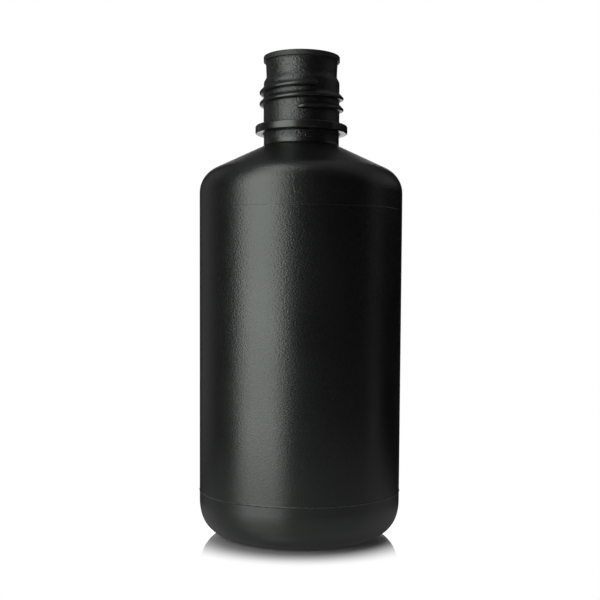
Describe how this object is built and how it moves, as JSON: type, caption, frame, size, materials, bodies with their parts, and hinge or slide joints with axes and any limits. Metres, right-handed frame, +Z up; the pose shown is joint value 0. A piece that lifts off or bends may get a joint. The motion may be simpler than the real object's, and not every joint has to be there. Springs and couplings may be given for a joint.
{
  "type": "boston round bottle",
  "caption": "Round-shouldered narrow-mouth laboratory bottle in black plastic, blow moulded in one piece with a screw-threaded neck and a collar below the thread, without its cap.",
  "frame": {"origin": "centre of the plane that the bottle stands on, on its axis", "axes": "+Z up the axis to the mouth; -Y towards the front, where the thread starts and ends"},
  "size_m": [0.0922, 0.0922, 0.2167],
  "materials": {
    "black_plastic": "fine sandblasted satin, high-density polyethylene coloured black"
  },
  "bodies": {
    "root": {"bottle": "black_plastic"}
  },
  "joints": []
}
